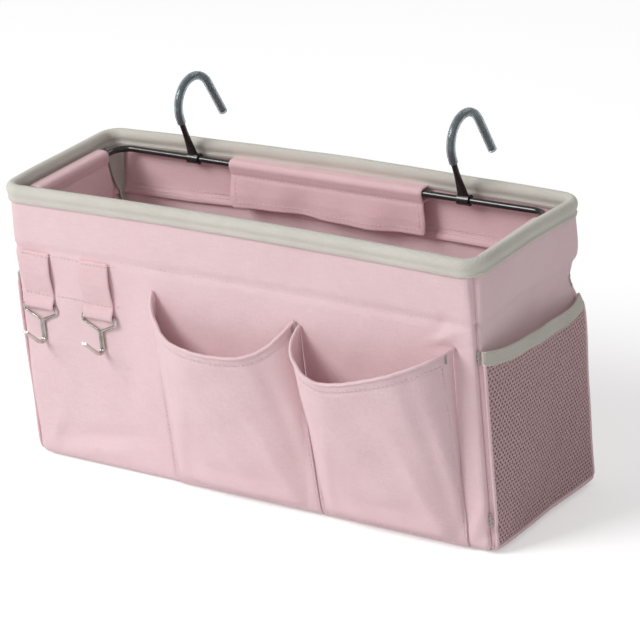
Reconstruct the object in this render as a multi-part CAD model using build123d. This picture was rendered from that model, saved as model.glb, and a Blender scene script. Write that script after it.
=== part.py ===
from build123d import *

import math
import os

# Hanging bedside organiser: an open canvas box on a bent wire frame. Two wire hooks turn on the frame's
# rear bar, two scoop pockets and two loops with small wire hooks are sewn to the front, and a net pocket
# to each end.
# Millimetres. The origin is the middle of the underside; +Z is up, -Y is the front, +X is to the right.

# Canvas box
BAG_WIDTH = 370.0
BAG_DEPTH = 124.0
BAG_HEIGHT = 200.0
CORNER_RADIUS = 10.0
CANVAS = 1.5                 # walls and bottom
FACING = 1.0                 # band turned in at the top
FACING_HEIGHT = 43.0
BOARD = 2.0                  # stiff sheet on the bottom
BOARD_GAP = 2.5              # between the sheet's edge and the walls
RIM_TAPE = 1.6
RIM_TAPE_HEIGHT = 11.5
SEAM_TAPE = 1.0              # tape over the four upright seams
SEAM_TAPE_TURN = 80.0        # degrees of the corner it covers

# Wire frame and the sleeves that hold it
ROD = 4.5
ROD_INSET = 10.0             # rod's centre from the outer face of the walls
ROD_DROP = 9.0               # rod's centre below the top of the walls
ROD_BEND = 12.0
SLEEVE = 1.2
SLEEVE_GAP = 0.35
LONG_SLEEVE = 156.0
SHORT_SLEEVE = 74.0
SHORT_SLEEVE_SHIFT = -3.0
FLAP_DROP = 31.0             # free edge of a sleeve below the rod's centre
TIE_DROP = 7.0               # seam to the wall, below the rod's centre
TIE = 2.0

# Rail hooks
HOOK_SPACING = 220.0
HOOK_WIRE = 4.0
HOOK_RADIUS = 19.0
HOOK_BACK = 7.5              # arch's centre behind the rod
HOOK_RISE = 38.0             # arch's centre above the rod
HOOK_FLARE = 28.0            # outer leg from upright, degrees
HOOK_LEG = 27.5
EYE_WIDTH = 9.0
EYE_WALL = 1.5
EYE_GAP = 0.08
EYE_BITE = 0.5               # depth of the blade's foot in the eye's wall
BLADE = 2.2                  # flattened foot of the shank
BLADE_HEIGHT = 22.0
TUBE_OUTER = 6.0
TUBE_GAP = 0.05
TUBE_START = 3.0             # tube's lower end below the arch's start
TUBE_OVERHANG = 1.0

# Front pockets
POCKET_MARGIN = 16.0         # from the right pocket to the bag's right end
POCKET_SEAM = 1.2            # between the two pockets
POCKET_CLOTH = 1.2
POCKET_FOOT = 3.0
POCKET_TOP = 141.0           # mouth's height at the wall
POCKET_DIP = 23.0            # mouth's front edge below that
POCKET_MOUTH = 38.0          # how far the mouth stands out
POCKET_HEEL = 6.0            # how far the foot stands out
POCKET_SPLAY = 9.0           # side walls lean in by this much at the mouth
MOUTH_ROUND = 18.0
HEEL_ROUND = 2.0
POCKET_EDGE = 2.0            # rolled edge along the mouth

# Net pockets on the ends
NET_WIDTH = 100.0
NET_FOOT = 2.0
NET_TOP = 130.0
NET_BULGE_TOP = 10.0
NET_BULGE_FOOT = 4.0
NET_CLOTH = 1.0
NET_SEAM = 3.0
NET_TAPE_HEIGHT = 8.0

# Loops and small hooks
LOOP_MARGIN = 20.0           # from the first loop's middle to the bag's left end
LOOP_PITCH = 51.0
LOOP_TO_POCKET = 50.0        # from the second loop's middle to the left pocket
LOOP_WIDTH = 24.0
LOOP_TOP = 156.0
LOOP_SEAM = 126.0
LOOP_EYE_Z = 118.0
WEBBING = 1.2
LOOP_BOW = 3.0               # how far the front layer stands off between its seams
LOOP_BOW_HALF = 5.0          # half the height of the bow's outer part
LOOP_BOW_SHARE = 0.8         # bow at the ends of that part
SMALL_WIRE = 2.0
SMALL_GAP = 0.3
SMALL_HALF = 14.2
SMALL_SIDE = 4.6
SMALL_NECK = 10.5
SMALL_DROP = 31.0
SMALL_REACH = 18.5
SMALL_BEND = 3.5             # bend at the foot of the shank
SMALL_CORNERS = (2.5, 2.2, 2.0)  # bends at the neck, below the bar's ends and at them
WIRE_TO_WIRE = 0.06

# Worked out from the sizes above
LINER = CANVAS + FACING
FACING_FOOT = BAG_HEIGHT - FACING_HEIGHT
ROD_Z = BAG_HEIGHT - ROD_DROP
REAR_ROD_Y = BAG_DEPTH / 2 - ROD_INSET
FRONT_Y = -BAG_DEPTH / 2
LOOP_CENTRES = [LOOP_MARGIN - BAG_WIDTH / 2, LOOP_MARGIN + LOOP_PITCH - BAG_WIDTH / 2]
POCKETS_LEFT = LOOP_CENTRES[1] + LOOP_TO_POCKET
POCKETS_RIGHT = BAG_WIDTH / 2 - POCKET_MARGIN
POCKET_WIDTH = (POCKETS_RIGHT - POCKETS_LEFT - POCKET_SEAM) / 2
FAR = 2 * BAG_WIDTH


def outline(inset, z):
    """Rounded plan of the box, inset from the outer face of the walls, as a face at height z."""
    radius = max(CORNER_RADIUS - inset, 1.0)
    plan = RectangleRounded(BAG_WIDTH - 2 * inset, BAG_DEPTH - 2 * inset, radius)
    return Pos(0, 0, z) * plan


def ring(outside, inside, low, high):
    """Upright band between two insets of the plan."""
    return extrude(outline(outside, low) - outline(inside, low), high - low)


def plan_prism(points, low, high):
    face = make_face(Polyline(*points, close=True))
    return extrude(Pos(0, 0, low) * face, high - low)


def end_sector(side):
    """Region that holds one end wall, cut at the corners' 45 degree lines."""
    x, y = BAG_WIDTH / 2 - CORNER_RADIUS, BAG_DEPTH / 2 - CORNER_RADIUS
    points = [(side * x, -y), (side * (x + FAR), -y - FAR), (side * (x + FAR), y + FAR), (side * x, y)]
    return plan_prism(points, 0, BAG_HEIGHT)


def long_sector(side):
    """Region that holds the front (-1) or back (+1) wall."""
    x, y = BAG_WIDTH / 2 - CORNER_RADIUS, BAG_DEPTH / 2 - CORNER_RADIUS
    points = [(-x, side * y), (-x - FAR, side * (y + FAR)), (x + FAR, side * (y + FAR)), (x, side * y)]
    return plan_prism(points, 0, BAG_HEIGHT)


def canvas_box():
    walls = ring(0, CANVAS, CANVAS, BAG_HEIGHT)
    return {
        "front_panel": walls & long_sector(-1),
        "back_panel": walls & long_sector(1),
        "left_end_panel": walls & end_sector(-1),
        "right_end_panel": walls & end_sector(1),
        "bottom_panel": extrude(outline(0, 0), CANVAS),
        "base_board": extrude(outline(CANVAS + BOARD_GAP, CANVAS), BOARD),
        "top_facing": ring(CANVAS, LINER, FACING_FOOT, BAG_HEIGHT),
    }


def rim_tape():
    top = BAG_HEIGHT + RIM_TAPE
    foot = top - RIM_TAPE_HEIGHT
    return ring(-RIM_TAPE, LINER + RIM_TAPE, foot, top) - ring(0, LINER, foot, BAG_HEIGHT)


def seam_tape(x_side, y_side):
    """Tape over an upright seam: it lies on the facing above and on the wall below."""
    low, high = CANVAS + BOARD, BAG_HEIGHT + RIM_TAPE - RIM_TAPE_HEIGHT
    band = ring(LINER, LINER + SEAM_TAPE, low, high) + ring(CANVAS, LINER + SEAM_TAPE, low, FACING_FOOT)
    x, y = BAG_WIDTH / 2 - CORNER_RADIUS, BAG_DEPTH / 2 - CORNER_RADIUS
    reach = 2 * CORNER_RADIUS
    turns = [math.radians(45 + side * SEAM_TAPE_TURN / 2) for side in (-1, 1)]
    rays = [(x + reach * math.cos(turn), y + reach * math.sin(turn)) for turn in turns]
    points = [(x_side * px, y_side * py) for px, py in [(x, y), *rays]]
    return band & plan_prism(points, low, high)


def wire_frame():
    width, depth = BAG_WIDTH - 2 * ROD_INSET, BAG_DEPTH - 2 * ROD_INSET
    path = (Pos(0, 0, ROD_Z) * RectangleRounded(width, depth, ROD_BEND)).face().outer_wire()
    start = path @ 0
    return sweep(Plane(origin=start, z_dir=path % 0) * Circle(ROD / 2), path)


def sleeve(length):
    """Sleeve round a rod along X at the origin, the wall on its +Y side: a tunnel, a tie and a free flap."""
    bore = ROD / 2 + SLEEVE_GAP
    outer = bore + SLEEVE
    tunnel = Circle(outer) - Circle(bore)
    flap = Pos(-outer + SLEEVE / 2, -FLAP_DROP / 2) * Rectangle(SLEEVE, FLAP_DROP)
    tie_length = ROD_INSET - LINER + outer - SLEEVE / 2
    tie = Pos(ROD_INSET - LINER - tie_length / 2, -TIE_DROP) * Rectangle(tie_length, TIE)
    section = Plane.YZ.offset(-length / 2) * (tunnel + (flap - Circle(bore)) + tie)
    return extrude(section, length)


def sleeves():
    end_x = BAG_WIDTH / 2 - ROD_INSET
    end_sleeve = sleeve(SHORT_SLEEVE)
    return {
        "back_sleeve": Pos(0, REAR_ROD_Y, ROD_Z) * sleeve(LONG_SLEEVE),
        "front_sleeve": Pos(0, -REAR_ROD_Y, ROD_Z) * Rot(0, 0, 180) * sleeve(LONG_SLEEVE),
        "left_sleeve": Pos(-end_x, SHORT_SLEEVE_SHIFT, ROD_Z) * Rot(0, 0, 90) * end_sleeve,
        "right_sleeve": Pos(end_x, SHORT_SLEEVE_SHIFT, ROD_Z) * Rot(0, 0, -90) * end_sleeve,
    }


def hook_line():
    """Shank, arch and outer leg of a rail hook in its own plane, from the rod's centre, as (y, z) points."""
    distance = math.hypot(HOOK_BACK, HOOK_RISE)
    lean = math.asin(HOOK_RADIUS / distance) - math.atan2(HOOK_BACK, HOOK_RISE)
    flare = math.radians(HOOK_FLARE)
    start_turn, end_turn = math.pi + lean, flare

    def on_arch(turn):
        return (HOOK_BACK + HOOK_RADIUS * math.cos(turn), HOOK_RISE + HOOK_RADIUS * math.sin(turn))

    arch = [on_arch(start_turn), on_arch((start_turn + end_turn) / 2), on_arch(end_turn)]
    tip = (arch[2][0] + HOOK_LEG * math.sin(flare), arch[2][1] - HOOK_LEG * math.cos(flare))
    return lean, arch, tip


def along_hook(foot_length, section, overhang=0.0):
    """Sweeps a section along the hook, from foot_length below the arch's start to past the tip."""
    lean, arch, tip = hook_line()
    flare = math.radians(HOOK_FLARE)
    foot = (arch[0][0] + foot_length * math.sin(lean), arch[0][1] - foot_length * math.cos(lean))
    end = (tip[0] + overhang * math.sin(flare), tip[1] - overhang * math.cos(flare))
    to_space = [Vector(0, *point) for point in (foot, *arch, end)]
    path = Wire([
        Line(to_space[0], to_space[1]).edge(),
        ThreePointArc(*to_space[1:4]).edge(),
        Line(to_space[3], to_space[4]).edge(),
    ])
    start = Plane(origin=to_space[0], x_dir=(1, 0, 0), z_dir=to_space[1] - to_space[0])
    return sweep(start * section, path)


def rail_hook():
    """Hook bent from wire, its foot flattened and curled round the rod at the origin."""
    lean, arch, _ = hook_line()
    bore = ROD / 2 + EYE_GAP
    up = Vector(0, -math.sin(lean), math.cos(lean))
    eye = extrude(Plane.YZ.offset(-EYE_WIDTH / 2) * (Circle(bore + EYE_WALL) - Circle(bore)), EYE_WIDTH)

    def across(height):
        return Plane(origin=up * height, x_dir=(1, 0, 0), z_dir=up)

    foot = bore + EYE_BITE
    blade = loft([across(foot) * Ellipse(EYE_WIDTH / 2, BLADE / 2),
                  across(BLADE_HEIGHT) * Circle(HOOK_WIRE / 2)])
    wire = along_hook(math.hypot(*arch[0]) - BLADE_HEIGHT, Circle(HOOK_WIRE / 2))
    return eye + blade + wire


def hook_tube():
    bore = HOOK_WIRE / 2 + TUBE_GAP
    return along_hook(TUBE_START, Circle(TUBE_OUTER / 2) - Circle(bore), TUBE_OVERHANG)


def pocket_section(left, right, inset, z):
    """Plan of a front pocket at height z: it lies on the front wall, and widens from heel to mouth."""
    share = (z - POCKET_FOOT) / (POCKET_TOP - POCKET_FOOT)
    reach = POCKET_HEEL + (POCKET_MOUTH - POCKET_HEEL) * share
    rounding = HEEL_ROUND + (MOUTH_ROUND - HEEL_ROUND) * share
    splay = POCKET_SPLAY * share
    front = FRONT_Y - reach + inset
    low, high = left + inset, right - inset
    points = [(low, FRONT_Y), (low + splay, front), (high - splay, front), (high, FRONT_Y)]
    edge = FilletPolyline(*points, radius=rounding)
    return Pos(0, 0, z) * make_face(edge.edges() + [Line(points[3], points[0]).edge()])


def pocket_body(left, right, inset, foot):
    return loft([pocket_section(left, right, inset, z) for z in (foot, POCKET_TOP)], ruled=True)


def mouth_cut(drop):
    """Everything above a pocket's slanting mouth, lowered by drop."""
    back, front = (FRONT_Y, POCKET_TOP - drop), (FRONT_Y - POCKET_MOUTH, POCKET_TOP - POCKET_DIP - drop)
    slope = (back[1] - front[1]) / POCKET_MOUTH
    far_front = (front[0] - POCKET_MOUTH, front[1] - slope * POCKET_MOUTH)
    ceiling = BAG_HEIGHT
    profile = Polyline(back, far_front, (far_front[0], ceiling), (back[0], ceiling), close=True)
    return extrude(Plane.YZ.offset(-BAG_WIDTH / 2) * make_face(profile), BAG_WIDTH)


def front_pocket(left, right):
    """Open pocket with a slanting mouth, and the rolled edge along that mouth."""
    shell = pocket_body(left, right, 0, POCKET_FOOT)
    shell -= pocket_body(left, right, POCKET_CLOTH, POCKET_FOOT + POCKET_CLOTH)
    return shell - mouth_cut(POCKET_EDGE), (shell & mouth_cut(POCKET_EDGE)) - mouth_cut(0)


def net_section(width, bulge, z):
    """Bow-shaped plan that lies on the right end wall."""
    wall = BAG_WIDTH / 2
    ends = [(wall, -width / 2), (wall, width / 2)]
    bow = ThreePointArc(ends[0], (wall + bulge, 0), ends[1]).edge()
    return Pos(0, 0, z) * make_face([bow, Line(ends[1], ends[0]).edge()])


def net_pocket():
    outer = loft([net_section(NET_WIDTH, NET_BULGE_FOOT, NET_FOOT),
                  net_section(NET_WIDTH, NET_BULGE_TOP, NET_TOP)])
    inner = loft([net_section(NET_WIDTH - 2 * NET_SEAM, NET_BULGE_FOOT - NET_CLOTH, NET_FOOT + NET_CLOTH),
                  net_section(NET_WIDTH - 2 * NET_SEAM, NET_BULGE_TOP - NET_CLOTH, NET_TOP)])
    return outer - inner


def net_edge():
    outer = net_section(NET_WIDTH, NET_BULGE_TOP, NET_TOP)
    inner = net_section(NET_WIDTH - 2 * NET_SEAM, NET_BULGE_TOP - NET_CLOTH, NET_TOP)
    return extrude(outer - inner, NET_TAPE_HEIGHT)


def small_hook_y():
    """Centre of a small hook's top bar, in front of the loop's rear layer."""
    return FRONT_Y - WEBBING - SMALL_GAP - SMALL_WIRE / 2


def webbing_loop():
    """Strip doubled round a small hook's bar: a flat rear layer, and a front layer that bows out."""
    bar_y = small_hook_y()
    bore = SMALL_WIRE / 2 + SMALL_GAP
    middle = bore + WEBBING / 2
    bow_z = (LOOP_TOP + LOOP_SEAM) / 2
    rear = Pos(FRONT_Y - WEBBING / 2, (LOOP_TOP + LOOP_EYE_Z) / 2) * Rectangle(WEBBING, LOOP_TOP - LOOP_EYE_Z)
    turn = Pos(bar_y, LOOP_EYE_Z) * (Circle(bore + WEBBING) - Circle(bore))
    turn -= Pos(bar_y, LOOP_EYE_Z + LOOP_WIDTH / 2) * Rectangle(LOOP_WIDTH, LOOP_WIDTH)
    near = FRONT_Y - 1.5 * WEBBING
    rise = (LOOP_SEAM - LOOP_EYE_Z) / 3
    shoulder = near - LOOP_BOW * LOOP_BOW_SHARE
    front = Polyline(
        (bar_y - middle, LOOP_EYE_Z), (bar_y - middle, LOOP_EYE_Z + rise), (near, LOOP_SEAM),
        (shoulder, bow_z - LOOP_BOW_HALF), (near - LOOP_BOW, bow_z), (shoulder, bow_z + LOOP_BOW_HALF),
        (near, LOOP_TOP - WEBBING / 2),
    )
    layer = trace(front, WEBBING)
    section = Plane.YZ.offset(-LOOP_WIDTH / 2) * (rear + turn + layer)
    return extrude(section, LOOP_WIDTH)


def small_hook():
    """One wire bent into a bar, two slanting sides and a doubled shank that turns forward and up."""
    half = SMALL_WIRE / 2 + WIRE_TO_WIRE / 2
    side = [(SMALL_HALF, 0, 0), (SMALL_HALF, 0, -SMALL_SIDE), (half, 0, -SMALL_NECK), (half, 0, -SMALL_DROP),
            (half, -SMALL_REACH, -SMALL_DROP + SMALL_REACH)]
    points = [(-x, y, z) for x, y, z in reversed(side)] + side
    bends = [SMALL_BEND, *SMALL_CORNERS]
    path = FilletPolyline(*points, radius=bends + bends[::-1])
    start = Plane(origin=path @ 0, z_dir=path % 0)
    return sweep(start * Circle(SMALL_WIRE / 2), path)


def build_parts():
    parts = canvas_box()
    parts["rim_tape"] = rim_tape()
    for y_name, y_side in (("front", -1), ("back", 1)):
        for x_name, x_side in (("left", -1), ("right", 1)):
            parts[f"seam_tape_{y_name}_{x_name}"] = seam_tape(x_side, y_side)
    parts["wire_frame"] = wire_frame()
    parts.update(sleeves())
    for name, side in (("left", -1), ("right", 1)):
        place = Pos(side * HOOK_SPACING / 2, REAR_ROD_Y, ROD_Z)
        parts[f"rail_hook_{name}"] = place * rail_hook()
        parts[f"hook_tube_{name}"] = place * hook_tube()
    for name, left in (("left", POCKETS_LEFT), ("right", POCKETS_RIGHT - POCKET_WIDTH)):
        right = left + POCKET_WIDTH
        parts[f"front_pocket_{name}"], parts[f"pocket_edge_{name}"] = front_pocket(left, right)
    for name, turn in (("right", 0), ("left", 180)):
        parts[f"net_pocket_{name}"] = Rot(0, 0, turn) * net_pocket()
        parts[f"net_edge_{name}"] = Rot(0, 0, turn) * net_edge()
    for name, centre in zip(("left", "right"), LOOP_CENTRES):
        parts[f"webbing_loop_{name}"] = Pos(centre, 0, 0) * webbing_loop()
        parts[f"small_hook_{name}"] = Pos(centre, small_hook_y(), LOOP_EYE_Z) * small_hook()
    return parts


os.makedirs("parts", exist_ok=True)
for node, shape in build_parts().items():
    export_step(shape, f"parts/{node}.step")
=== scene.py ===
import math

import bpy
import numpy as np
from mathutils import Matrix, Vector


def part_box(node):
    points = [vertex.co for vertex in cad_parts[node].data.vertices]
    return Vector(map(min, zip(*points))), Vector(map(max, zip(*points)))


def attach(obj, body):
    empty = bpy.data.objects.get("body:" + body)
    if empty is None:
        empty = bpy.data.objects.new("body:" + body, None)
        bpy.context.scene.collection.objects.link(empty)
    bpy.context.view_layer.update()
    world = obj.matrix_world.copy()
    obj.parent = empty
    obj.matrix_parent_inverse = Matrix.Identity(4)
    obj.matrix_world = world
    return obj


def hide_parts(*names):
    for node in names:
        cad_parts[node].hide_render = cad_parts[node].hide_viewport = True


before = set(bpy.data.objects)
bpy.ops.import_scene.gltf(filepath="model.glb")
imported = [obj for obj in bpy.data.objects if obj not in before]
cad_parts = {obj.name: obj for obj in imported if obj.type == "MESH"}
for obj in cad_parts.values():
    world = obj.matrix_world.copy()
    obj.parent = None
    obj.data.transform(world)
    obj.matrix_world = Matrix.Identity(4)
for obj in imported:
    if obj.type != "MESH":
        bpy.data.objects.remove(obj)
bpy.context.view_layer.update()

MM = 0.001


# ---------------------------------------------------------------- sizes, in millimetres

def span(node):
    low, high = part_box(node)
    return np.array(low) / MM, np.array(high) / MM


bottom_low, bottom_high = span("bottom_panel")
HALF_LENGTH = bottom_high[0]
HALF_DEPTH = bottom_high[1]
HEIGHT = span("front_panel")[1][2]
FRONT = -HALF_DEPTH
ROD_LOW, ROD_HIGH = span("wire_frame")
ROD_Z = (ROD_LOW[2] + ROD_HIGH[2]) / 2
ROD_RADIUS = (ROD_HIGH[2] - ROD_LOW[2]) / 2
ROD_Y = ROD_HIGH[1] - ROD_RADIUS
ROD_X = ROD_HIGH[0] - ROD_RADIUS

CANVAS = 1.5
FACING = 1.0
FACING_FOOT = span("top_facing")[0][2]
CORNER_TOP = 13.0            # corner radius of the plan at the rim
CORNER_BODY = 8.0            # and below the facing
ROLL = 9.0                   # radius with which the walls turn under at the bottom
RIM_BOW = 2.5                # rise of the long rims between their corners
SEAM_TURN = 50.0             # degrees round a corner, from the long wall, where the upright seam lies
STEP = 2.5                   # grid pitch of the cloth


# ---------------------------------------------------------------- camera

def make_camera():
    azimuth, elevation, roll = (math.radians(a) for a in (36.5, 22.9, -5.6))
    distance = 2.032
    target = Vector((0.0223, 0.0, 0.1119))
    flat = math.cos(elevation)
    back = Vector((math.sin(azimuth) * flat, -math.cos(azimuth) * flat, math.sin(elevation)))
    right = Vector((0, 0, 1)).cross(back).normalized()
    up = back.cross(right)
    across = right * math.cos(roll) + up * math.sin(roll)
    upright = up * math.cos(roll) - right * math.sin(roll)
    data = bpy.data.cameras.new("camera")
    data.lens = 171.9
    data.sensor_width = 36.0
    camera = bpy.data.objects.new("camera", data)
    camera.matrix_world = Matrix((across, upright, back)).transposed().to_4x4()
    camera.location = target + back * distance
    bpy.context.scene.collection.objects.link(camera)
    bpy.context.scene.camera = camera


make_camera()


# ---------------------------------------------------------------- shader helpers

def rgb(red, green, blue, alpha=1.0):
    """Screen colour, 0 to 255, as linear values."""
    def linear(c):
        c /= 255
        return c / 12.92 if c <= 0.04045 else ((c + 0.055) / 1.055) ** 2.4
    return (linear(red), linear(green), linear(blue), alpha)


class Nodes:
    """Adds and links the nodes of one tree."""

    def __init__(self, tree):
        self.tree = tree

    def add(self, kind, **settings):
        node = self.tree.nodes.new(kind)
        for name, value in settings.items():
            if name.startswith("in_"):
                node.inputs[name[3:].replace("_", " ")].default_value = value
            else:
                setattr(node, name, value)
        return node

    def link(self, source, target):
        self.tree.links.new(source, target)

    def math(self, operation, *values, clamp=False):
        node = self.tree.nodes.new("ShaderNodeMath")
        node.operation = operation
        node.use_clamp = clamp
        for socket, value in zip(node.inputs, values):
            self.feed(socket, value)
        return node.outputs[0]

    def feed(self, socket, value):
        if isinstance(value, bpy.types.NodeSocket):
            self.link(value, socket)
        else:
            socket.default_value = value

    def noise(self, vector, scale, detail=2.0, roughness=0.5):
        node = self.add("ShaderNodeTexNoise", in_Scale=scale, in_Detail=detail, in_Roughness=roughness)
        self.feed(node.inputs["Vector"], vector)
        return node.outputs[0]

    def mix(self, factor, first, second, blend="MIX"):
        node = self.tree.nodes.new("ShaderNodeMix")
        node.data_type = "RGBA"
        node.blend_type = blend
        self.feed(node.inputs[0], factor)
        self.feed(node.inputs[6], first)
        self.feed(node.inputs[7], second)
        return node.outputs[2]

    def ramp(self, value, low, high):
        node = self.tree.nodes.new("ShaderNodeMapRange")
        self.feed(node.inputs[0], value)
        node.inputs[1].default_value = low
        node.inputs[2].default_value = high
        return node.outputs[0]


def make_group(name, inputs, outputs, fill):
    tree = bpy.data.node_groups.new(name, "ShaderNodeTree")
    for label, kind, value in inputs:
        socket = tree.interface.new_socket(label, in_out="INPUT", socket_type=kind)
        if value is not None:
            socket.default_value = value
    for label, kind in outputs:
        tree.interface.new_socket(label, in_out="OUTPUT", socket_type=kind)
    nodes = Nodes(tree)
    source = nodes.add("NodeGroupInput").outputs
    target = nodes.add("NodeGroupOutput").inputs
    for label, value in fill(nodes, source).items():
        nodes.feed(target[label], value)
    return tree


FLOAT = "NodeSocketFloat"
VECTOR = "NodeSocketVector"


def plain_weave(nodes, source):
    """Crossing yarns of uneven thickness, with slubs and small nubs. The vector is in metres of cloth."""
    cloth = source["Cloth"]
    place = nodes.add("ShaderNodeSeparateXYZ")
    nodes.link(cloth, place.inputs[0])
    wander = nodes.noise(cloth, 260.0, 2.0)
    shift = nodes.math("MULTIPLY", nodes.math("SUBTRACT", wander, 0.5), 1.1)
    waves = []
    for axis in (0, 1):
        turns = nodes.math("ADD", nodes.math("MULTIPLY", place.outputs[axis], source["Threads"]), shift)
        waves.append(nodes.math("ABSOLUTE", nodes.math("SINE", nodes.math("MULTIPLY", turns, math.pi))))
    weave = nodes.math("MULTIPLY", waves[0], waves[1])
    streaks = []
    for stretch in ((90.0, 1500.0, 1.0), (1500.0, 90.0, 1.0)):
        scaled = nodes.add("ShaderNodeVectorMath", operation="MULTIPLY")
        nodes.link(cloth, scaled.inputs[0])
        scaled.inputs[1].default_value = stretch
        streaks.append(nodes.noise(scaled.outputs[0], 1.0, 2.0, 0.6))
    slub = nodes.math("ADD", nodes.math("MULTIPLY", streaks[0], 0.6), nodes.math("MULTIPLY", streaks[1], 0.4))
    slub = nodes.ramp(slub, 0.35, 0.68)
    spots = nodes.add("ShaderNodeTexVoronoi", in_Scale=210.0, in_Randomness=1.0)
    nodes.link(cloth, spots.inputs["Vector"])
    split = nodes.add("ShaderNodeSeparateColor")
    nodes.link(spots.outputs["Color"], split.inputs[0])
    chosen = nodes.math("GREATER_THAN", split.outputs[0], 0.93)
    near = nodes.math("SUBTRACT", 1.0, nodes.ramp(spots.outputs["Distance"], 0.05, 0.17))
    nub = nodes.math("MULTIPLY", chosen, near)
    height = nodes.math("ADD", nodes.math("MULTIPLY", weave, 0.55), nodes.math("MULTIPLY", slub, 0.55))
    height = nodes.math("ADD", height, nodes.math("MULTIPLY", nub, 0.8))
    return {"Height": height, "Yarn": weave, "Slub": slub, "Nub": nub}


def twill_rib(nodes, source):
    """Slanting ribs of a tape, with the fine threads across them."""
    place = nodes.add("ShaderNodeSeparateXYZ")
    nodes.link(source["Cloth"], place.inputs[0])
    wander = nodes.math("MULTIPLY", nodes.noise(source["Cloth"], 400.0, 2.0), 0.7)
    along = nodes.math("MULTIPLY", place.outputs[0], source["Ribs"])
    across = nodes.math("MULTIPLY", place.outputs[1], source["Ribs"])
    slanted = nodes.math("ADD", nodes.math("SUBTRACT", along, across), wander)
    rib = nodes.math("ABSOLUTE", nodes.math("SINE", nodes.math("MULTIPLY", slanted, math.pi)))
    cross = nodes.math("ADD", nodes.math("ADD", along, across), wander)
    cross = nodes.math("ABSOLUTE", nodes.math("SINE", nodes.math("MULTIPLY", cross, 2.2 * math.pi)))
    height = nodes.math("ADD", nodes.math("MULTIPLY", rib, 0.8), nodes.math("MULTIPLY", cross, 0.25))
    return {"Height": height, "Rib": rib}


def soft_tone(nodes, source):
    """Slow, uneven change of tone over a piece, from 0 to 1."""
    broad = nodes.noise(source["Place"], 9.0, 3.0, 0.55)
    fine = nodes.noise(source["Place"], 55.0, 3.0, 0.6)
    both = nodes.math("ADD", nodes.math("MULTIPLY", broad, 0.65), nodes.math("MULTIPLY", fine, 0.35))
    return {"Tone": nodes.ramp(both, 0.32, 0.68)}


def scuffs(nodes, source):
    """Fine scratches and dull patches on wire."""
    stretched = nodes.add("ShaderNodeVectorMath", operation="MULTIPLY")
    nodes.link(source["Place"], stretched.inputs[0])
    stretched.inputs[1].default_value = (1.0, 0.35, 1.0)
    lines = nodes.noise(stretched.outputs[0], 900.0, 4.0, 0.7)
    patches = nodes.noise(source["Place"], 70.0, 3.0, 0.6)
    return {"Scratch": nodes.ramp(lines, 0.52, 0.72), "Dull": nodes.ramp(patches, 0.4, 0.7)}


WEAVE = make_group("plain_weave", [("Cloth", VECTOR, None), ("Threads", FLOAT, 1500.0)],
                   [("Height", FLOAT), ("Yarn", FLOAT), ("Slub", FLOAT), ("Nub", FLOAT)], plain_weave)
TWILL = make_group("twill_rib", [("Cloth", VECTOR, None), ("Ribs", FLOAT, 900.0)],
                   [("Height", FLOAT), ("Rib", FLOAT)], twill_rib)
TONE = make_group("soft_tone", [("Place", VECTOR, None)], [("Tone", FLOAT)], soft_tone)
SCUFFS = make_group("scuffs", [("Place", VECTOR, None)], [("Scratch", FLOAT), ("Dull", FLOAT)], scuffs)


def start_material(name, **sockets):
    material = bpy.data.materials.new(name)
    material.use_nodes = True
    nodes = Nodes(material.node_tree)
    shader = material.node_tree.nodes["Principled BSDF"]
    for label, value in sockets.items():
        shader.inputs[label.replace("_", " ")].default_value = value
    coordinates = nodes.add("ShaderNodeTexCoord")
    return material, nodes, shader, coordinates


def use_group(nodes, tree, **inputs):
    node = nodes.add("ShaderNodeGroup", node_tree=tree)
    for label, value in inputs.items():
        nodes.feed(node.inputs[label], value)
    return node.outputs


def add_bump(nodes, shader, height, distance, strength=1.0):
    bump = nodes.add("ShaderNodeBump", in_Distance=distance, in_Strength=strength)
    nodes.link(height, bump.inputs["Height"])
    nodes.link(bump.outputs[0], shader.inputs["Normal"])


def canvas_material(name, light, deep, threads=1500.0, relief=0.00022):
    """Plain-woven canvas: slubs lighten it, the gaps between yarns and slow tone changes deepen it."""
    material, nodes, shader, at = start_material(
        name, Roughness=0.9, Sheen_Weight=0.18, Sheen_Roughness=0.5, Specular_IOR_Level=0.2)
    weave = use_group(nodes, WEAVE, Cloth=at.outputs["UV"], Threads=threads)
    tone = use_group(nodes, TONE, Place=at.outputs["Object"])
    gaps = nodes.math("MULTIPLY", nodes.math("SUBTRACT", 1.0, weave["Yarn"]), 0.16)
    streak = nodes.math("MULTIPLY", nodes.math("SUBTRACT", 1.0, weave["Slub"]), 0.34)
    slow = nodes.math("MULTIPLY", tone["Tone"], 0.3)
    depth = nodes.math("ADD", nodes.math("ADD", gaps, streak), slow, clamp=True)
    colour = nodes.mix(depth, light, deep)
    colour = nodes.mix(nodes.math("MULTIPLY", weave["Nub"], 0.55), colour, rgb(255, 244, 242))
    nodes.link(colour, shader.inputs["Base Color"])
    add_bump(nodes, shader, weave["Height"], relief)
    return material


def ribbed_material(name, light, deep, ribs, relief, rib_share, slow_share, **sockets):
    """Tape, thread or net yarn: slanting ribs or twist, with slow changes of tone."""
    material, nodes, shader, at = start_material(name, **sockets)
    twill = use_group(nodes, TWILL, Cloth=at.outputs["UV"], Ribs=ribs)
    tone = use_group(nodes, TONE, Place=at.outputs["Object"])
    gaps = nodes.math("MULTIPLY", nodes.math("SUBTRACT", 1.0, twill["Rib"]), rib_share)
    depth = nodes.math("ADD", gaps, nodes.math("MULTIPLY", tone["Tone"], slow_share), clamp=True)
    nodes.link(nodes.mix(depth, light, deep), shader.inputs["Base Color"])
    add_bump(nodes, shader, twill["Height"], relief)
    return material


def tape_material(name, light, deep, ribs=850.0):
    return ribbed_material(name, light, deep, ribs, 0.0003, 0.45, 0.35, Roughness=0.82, Sheen_Weight=0.15,
                           Sheen_Roughness=0.5, Specular_IOR_Level=0.25)


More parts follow.
